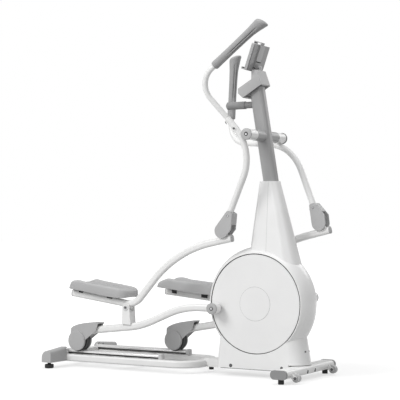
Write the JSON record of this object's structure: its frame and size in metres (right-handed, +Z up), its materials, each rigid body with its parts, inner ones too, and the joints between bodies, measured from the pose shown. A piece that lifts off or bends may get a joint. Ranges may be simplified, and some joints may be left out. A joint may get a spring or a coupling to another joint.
{
  "type": "elliptical trainer",
  "caption": "White and grey elliptical trainer: front crank drum, roller arms on rails, pedals, swinging handlebars, leaning mast with console and tablet holder.",
  "frame": {"origin": "on the floor, under the middle of the machine's overall box", "axes": "+X is forward, the way the user faces; +Y is the user's left; +Z is up"},
  "size_m": [1.424, 0.6, 1.7151],
  "materials": {
    "white_paint": "gloss powder coat",
    "white_plastic": "smooth satin gloss",
    "grey_plastic": "fine satin texture",
    "light_grey_plastic": "fine satin texture",
    "mast_grey": "satin powder coat",
    "dark_roller": "smooth, slightly worn",
    "black_rubber": "matte",
    "grip_foam": "soft matte",
    "chrome_rail": "polished",
    "steel": "machined",
    "cast_iron": "painted casting",
    "belt_rubber": "ribbed",
    "display_glass": "dark gloss window",
    "circuit_board": "solder resist"
  },
  "bodies": {
    "root": {"main_frame": "white_paint", "rear_frame": "white_paint", "slide_rails": "chrome_rail", "rail_clamps": "light_grey_plastic", "rear_stabiliser": "white_paint", "rear_covers": "grey_plastic", "rubber_feet": "black_rubber", "front_stabiliser": "white_paint", "front_end_caps": "grey_plastic", "transport_axles": "steel", "housing_right": "white_plastic", "housing_left": "white_plastic", "tower_front": "white_plastic", "tower_rear": "white_plastic", "crank_bearings": "steel", "flywheel_axle": "steel", "drive_belt": "belt_rubber", "mast": "mast_grey", "axle_housing": "mast_grey", "handlebar_axle": "steel", "fixed_grip_foam": "grip_foam", "console_shell": "grey_plastic", "console_panel": "light_grey_plastic", "display_lens": "display_glass", "console_board": "circuit_board"},
    "crank": {"crank_shaft": "steel", "crank_pulley": "cast_iron", "crank_disc_right": "white_plastic", "crank_disc_left": "white_plastic", "disc_caps": "white_plastic", "crank_pins": "steel"},
    "flywheel": {"flywheel": "cast_iron"},
    "foot_right": {"rear_foot_right": "black_rubber"},
    "foot_left": {"rear_foot_left": "black_rubber"},
    "wheel_right": {"transport_wheel_right": "grey_plastic"},
    "wheel_left": {"transport_wheel_left": "grey_plastic"},
    "holder": {"tablet_holder": "grey_plastic", "clip_spring": "steel"},
    "clip": {"tablet_clip": "grey_plastic"},
    "button": {"mode_button": "light_grey_plastic"},
    "carriage_right": {"roller_axle_right": "steel"},
    "roller_right": {"roller_wheel_right": "dark_roller"},
    "arm_right": {"roller_arm_right": "white_paint", "roller_cover_right": "grey_plastic", "pivot_bolt_right": "steel"},
    "pedal_arm_right": {"pedal_arm_right": "white_paint", "pedal_right": "grey_plastic"},
    "bar_right": {"handlebar_right": "white_paint", "grip_right": "grip_foam", "handlebar_covers_right": "grey_plastic"},
    "carriage_left": {"roller_axle_left": "steel"},
    "roller_left": {"roller_wheel_left": "dark_roller"},
    "arm_left": {"roller_arm_left": "white_paint", "roller_cover_left": "grey_plastic", "pivot_bolt_left": "steel"},
    "pedal_arm_left": {"pedal_arm_left": "white_paint", "pedal_left": "grey_plastic"},
    "bar_left": {"handlebar_left": "white_paint", "grip_left": "grip_foam", "handlebar_covers_left": "grey_plastic"}
  },
  "joints": [
    {"name": "stride_right", "type": "slide", "parent": "root", "child": "carriage_right", "axis": [1, 0, 0], "range_m": [0, 0.4232]},
    {"name": "stride_left", "type": "slide", "parent": "root", "child": "carriage_left", "axis": [1, 0, 0], "range_m": [-0.4242, 0.001]},
    {"name": "crank_turn", "type": "hinge", "parent": "root", "child": "crank", "pos_m": [0.408, 0, 0.354], "axis": [0, 1, 0], "continuous": true},
    {"name": "flywheel_turn", "type": "hinge", "parent": "root", "child": "flywheel", "pos_m": [0.33, -0.034, 0.19], "axis": [0, 1, 0], "continuous": true},
    {"name": "roller_right_turn", "type": "hinge", "parent": "carriage_right", "child": "roller_right", "pos_m": [-0.59144, -0.133, 0.136], "axis": [0, 1, 0], "continuous": true},
    {"name": "arm_right_tilt", "type": "hinge", "parent": "carriage_right", "child": "arm_right", "pos_m": [-0.59144, -0.133, 0.136], "axis": [0, 1, 0], "range_deg": [-3.88, 0.05]},
    {"name": "pedal_right_tilt", "type": "hinge", "parent": "arm_right", "child": "pedal_arm_right", "pos_m": [-0.28983, -0.132, 0.31691], "axis": [0, 1, 0], "range_deg": [-0.05, 1.93]},
    {"name": "bar_right_swing", "type": "hinge", "parent": "root", "child": "bar_right", "pos_m": [0.421, -0.132, 1.1685], "axis": [0, 1, 0], "range_deg": [-48.01, 0.05]},
    {"name": "roller_left_turn", "type": "hinge", "parent": "carriage_left", "child": "roller_left", "pos_m": [-0.16824, 0.133, 0.136], "axis": [0, 1, 0], "continuous": true},
    {"name": "arm_left_tilt", "type": "hinge", "parent": "carriage_left", "child": "arm_left", "pos_m": [-0.16824, 0.133, 0.136], "axis": [0, 1, 0], "range_deg": [-0.05, 3.88]},
    {"name": "pedal_left_tilt", "type": "hinge", "parent": "arm_left", "child": "pedal_arm_left", "pos_m": [0.12061, 0.132, 0.33666], "axis": [0, 1, 0], "range_deg": [-1.93, 0.05]},
    {"name": "bar_left_swing", "type": "hinge", "parent": "root", "child": "bar_left", "pos_m": [0.421, 0.132, 1.1685], "axis": [0, 1, 0], "range_deg": [-0.05, 48.01]},
    {"name": "wheel_right_turn", "type": "hinge", "parent": "root", "child": "wheel_right", "pos_m": [0.692, -0.203, 0.028], "axis": [0, 1, 0], "continuous": true},
    {"name": "foot_right_turn", "type": "hinge", "parent": "root", "child": "foot_right", "pos_m": [-0.685, -0.272, 0.01], "axis": [0, 0, 1], "continuous": true},
    {"name": "wheel_left_turn", "type": "hinge", "parent": "root", "child": "wheel_left", "pos_m": [0.692, 0.203, 0.028], "axis": [0, 1, 0], "continuous": true},
    {"name": "foot_left_turn", "type": "hinge", "parent": "root", "child": "foot_left", "pos_m": [-0.685, 0.272, 0.01], "axis": [0, 0, 1], "continuous": true},
    {"name": "holder_tilt", "type": "hinge", "parent": "root", "child": "holder", "pos_m": [0.39, 0, 1.508], "axis": [0, 1, 0], "range_deg": [-4, 12]},
    {"name": "clip_slide", "type": "slide", "parent": "holder", "child": "clip", "axis": [0.3338, 0, 0.9426], "range_m": [0, 0.03], "stiffness_N_per_m": 150, "springref_m": -0.005},
    {"name": "button_press", "type": "slide", "parent": "root", "child": "button", "axis": [0.4939, 0, -0.8695], "range_m": [0, 0.0015], "stiffness_N_per_m": 400, "springref_m": -0.001}
  ],
  "couplings": [
    {"joint": "stride_left", "follows": "stride_right", "ratio": -1},
    {"joint": "crank_turn", "follows": "stride_right", "rad_per_m": 7.4234},
    {"joint": "flywheel_turn", "follows": "stride_right", "rad_per_m": 48.252},
    {"joint": "roller_right_turn", "follows": "stride_right", "rad_per_m": 21.459},
    {"joint": "arm_right_tilt", "follows": "stride_right", "rad_per_m": -0.15802},
    {"joint": "pedal_right_tilt", "follows": "stride_right", "rad_per_m": 0.077352},
    {"joint": "bar_right_swing", "follows": "stride_right", "rad_per_m": -1.9779},
    {"joint": "roller_left_turn", "follows": "stride_right", "rad_per_m": -21.459},
    {"joint": "arm_left_tilt", "follows": "stride_right", "rad_per_m": 0.15802},
    {"joint": "pedal_left_tilt", "follows": "stride_right", "rad_per_m": -0.077352},
    {"joint": "bar_left_swing", "follows": "stride_right", "rad_per_m": 1.9779}
  ]
}
